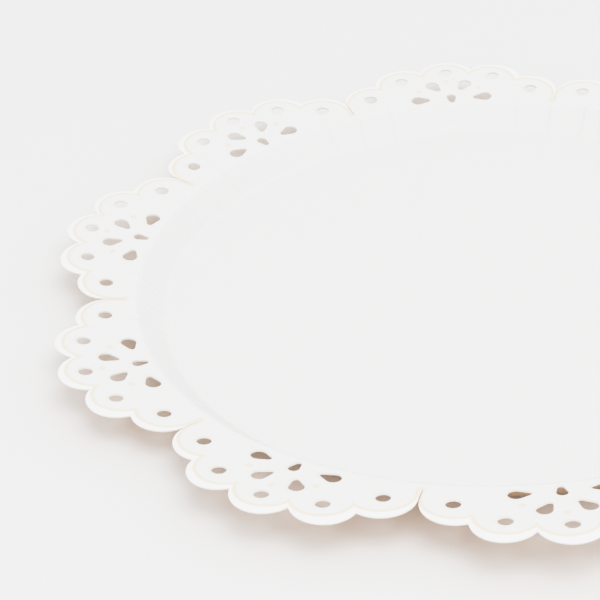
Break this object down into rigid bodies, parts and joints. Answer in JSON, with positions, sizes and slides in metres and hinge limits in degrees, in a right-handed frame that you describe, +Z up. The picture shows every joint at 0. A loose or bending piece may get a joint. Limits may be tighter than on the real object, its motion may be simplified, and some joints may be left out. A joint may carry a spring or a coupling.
{
  "type": "lace rimmed party plate",
  "caption": "Round pressed paperboard party plate with a shallow well, short sloping wall and wide scalloped rim die-cut with eyelet lace and printed cream lines.",
  "frame": {"origin": "centre of the underside of the flat base, which stands on z = 0", "axes": "+Z up out of the well, +Y through the middle of a lobe, +X through a slit between two lobes"},
  "size_m": [0.261, 0.2702, 0.0114],
  "materials": {
    "board": "matte white pressed paperboard with cream printed line, rings and dots",
    "film": "clear satin barrier film over white board"
  },
  "bodies": {
    "root": {"plate_board": "board", "barrier_film": "film"}
  },
  "joints": []
}
